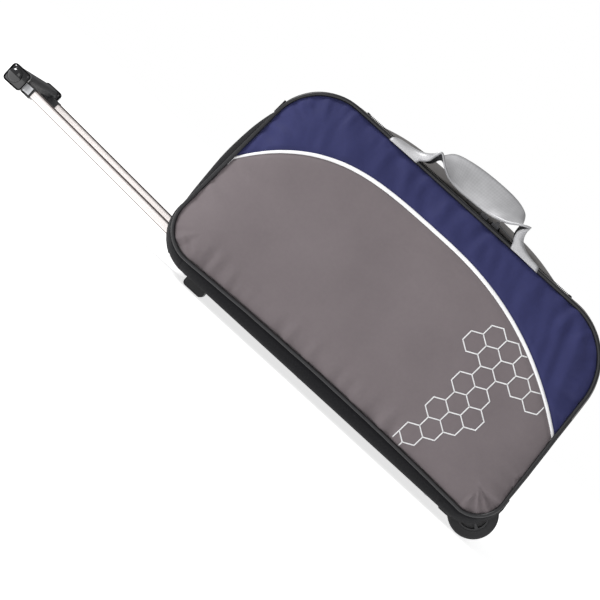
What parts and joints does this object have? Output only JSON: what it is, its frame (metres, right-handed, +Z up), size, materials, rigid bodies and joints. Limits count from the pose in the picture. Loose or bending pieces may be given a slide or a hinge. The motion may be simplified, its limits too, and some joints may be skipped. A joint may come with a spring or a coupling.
{
  "type": "rolling duffel bag",
  "caption": "Rolling duffel bag with piped side panels, zip-open lid, webbing carry straps, corner wheels and a telescopic trolley handle with a push-button lock",
  "frame": {"origin": "on the floor, under the middle of the bounding box with the handle out", "axes": "+X along the bag towards the wheels, +Y from the printed front panel to the back panel, +Z up"},
  "size_m": [0.8073, 0.2964, 0.3446],
  "materials": {
    "grey_cloth": "woven, matt",
    "blue_cloth": "woven, soft sheen",
    "white_stripe": "satin tape",
    "black_cloth": "coarse weave",
    "piping": "smooth",
    "zipper": "woven tape",
    "webbing": "satin webbing",
    "board": "moulded board",
    "aluminium": "anodised, satin",
    "steel": "plated",
    "black_plastic": "fine texture",
    "gloss_black": "gloss",
    "rubber": "smooth tread",
    "nylon": "natural nylon"
  },
  "bodies": {
    "bag": {"front_lower_panel": "grey_cloth", "front_upper_panel": "blue_cloth", "front_stripe": "white_stripe", "front_piping": "piping", "back_panel": "grey_cloth", "back_piping": "piping", "bottom_panel": "black_cloth", "handle_end_panel": "black_cloth", "wheel_end_panel": "black_cloth", "top_gusset": "grey_cloth", "zipper_tape": "zipper", "zipper_coil": "zipper", "base_board": "board", "base_rivets": "steel", "handle_bezel": "black_plastic", "outer_tube_l": "aluminium", "outer_tube_r": "aluminium", "tube_bracket": "black_plastic", "bracket_screws": "steel", "wheel_housing_l": "black_plastic", "wheel_housing_r": "black_plastic", "axle_l": "steel", "axle_r": "steel", "axle_nuts": "steel", "foot_l": "black_plastic", "foot_r": "black_plastic", "foot_screws": "steel"},
    "lid": {"lid_panel": "grey_cloth", "lid_zipper_tape": "zipper"},
    "slider_a_body": {"slider_a": "steel"},
    "pull_a_body": {"pull_tab_a": "steel"},
    "slider_b_body": {"slider_b": "steel"},
    "pull_b_body": {"pull_tab_b": "steel"},
    "strap_front": {"carry_strap_front": "webbing"},
    "strap_back": {"carry_strap_back": "webbing"},
    "handle": {"inner_tube_l": "aluminium", "inner_tube_r": "aluminium", "ferrule_l": "steel", "ferrule_r": "steel", "tube_collars": "black_plastic", "grip_lower_shell": "gloss_black", "grip_upper_shell": "black_plastic", "grip_screws": "steel", "guide_plug_l": "nylon", "guide_plug_r": "nylon", "button_springs": "steel"},
    "release": {"release_button": "gloss_black", "release_bar": "steel", "push_rod_l": "steel", "push_rod_r": "steel"},
    "lock_l": {"lock_pin_l": "steel"},
    "lock_r": {"lock_pin_r": "steel"},
    "wheel_l": {"tyre_l": "rubber", "wheel_hub_l": "black_plastic", "wheel_bush_l": "nylon"},
    "wheel_r": {"tyre_r": "rubber", "wheel_hub_r": "black_plastic", "wheel_bush_r": "nylon"}
  },
  "joints": [
    {"name": "lid_hinge", "type": "hinge", "parent": "bag", "child": "lid", "pos_m": [0.11987, 0.1177, 0.30024], "axis": [-1, 0, 0], "range_deg": [0, 100]},
    {"name": "slider_a_slide", "type": "slide", "parent": "bag", "child": "slider_a_body", "axis": [-1, 0, 0], "range_m": [0, 0.15]},
    {"name": "pull_a_hinge", "type": "hinge", "parent": "slider_a_body", "child": "pull_a_body", "pos_m": [0.14187, -0.12328, 0.30635], "axis": [0, 0.9939, 0.1104], "range_deg": [0, 150]},
    {"name": "slider_b_slide", "type": "slide", "parent": "bag", "child": "slider_b_body", "axis": [1, 0, 0], "range_m": [0, 0.1]},
    {"name": "pull_b_hinge", "type": "hinge", "parent": "slider_b_body", "child": "pull_b_body", "pos_m": [0.15987, -0.12328, 0.30635], "axis": [0, -0.9939, -0.1104], "range_deg": [0, 150]},
    {"name": "strap_front_hinge", "type": "hinge", "parent": "bag", "child": "strap_front", "pos_m": [0.11487, -0.139, 0.29762], "axis": [1, 0, 0], "range_deg": [0, 90]},
    {"name": "strap_back_hinge", "type": "hinge", "parent": "bag", "child": "strap_back", "pos_m": [0.11487, 0.1464, 0.299], "axis": [1, 0, 0], "range_deg": [0, 170]},
    {"name": "trolley_slide", "type": "slide", "parent": "bag", "child": "handle", "axis": [0.999, 0, -0.0436], "range_m": [0, 0.228]},
    {"name": "release_slide", "type": "slide", "parent": "handle", "child": "release", "axis": [0.999, 0, -0.0436], "range_m": [0, 0.004], "stiffness_N_per_m": 600, "springref_m": -0.004, "deforming": ["button_springs"]},
    {"name": "lock_l_slide", "type": "slide", "parent": "handle", "child": "lock_l", "axis": [0, 1, 0], "range_m": [0, 0.003]},
    {"name": "lock_r_slide", "type": "slide", "parent": "handle", "child": "lock_r", "axis": [0, -1, 0], "range_m": [0, 0.003]},
    {"name": "wheel_l_spin", "type": "hinge", "parent": "bag", "child": "wheel_l", "pos_m": [0.37262, -0.092, 0.031], "axis": [0, 1, 0], "continuous": true},
    {"name": "wheel_r_spin", "type": "hinge", "parent": "bag", "child": "wheel_r", "pos_m": [0.37262, 0.092, 0.031], "axis": [0, 1, 0], "continuous": true}
  ],
  "couplings": [
    {"joint": "lock_l_slide", "follows": "release_slide", "ratio": 0.75},
    {"joint": "lock_r_slide", "follows": "release_slide", "ratio": 0.75}
  ]
}
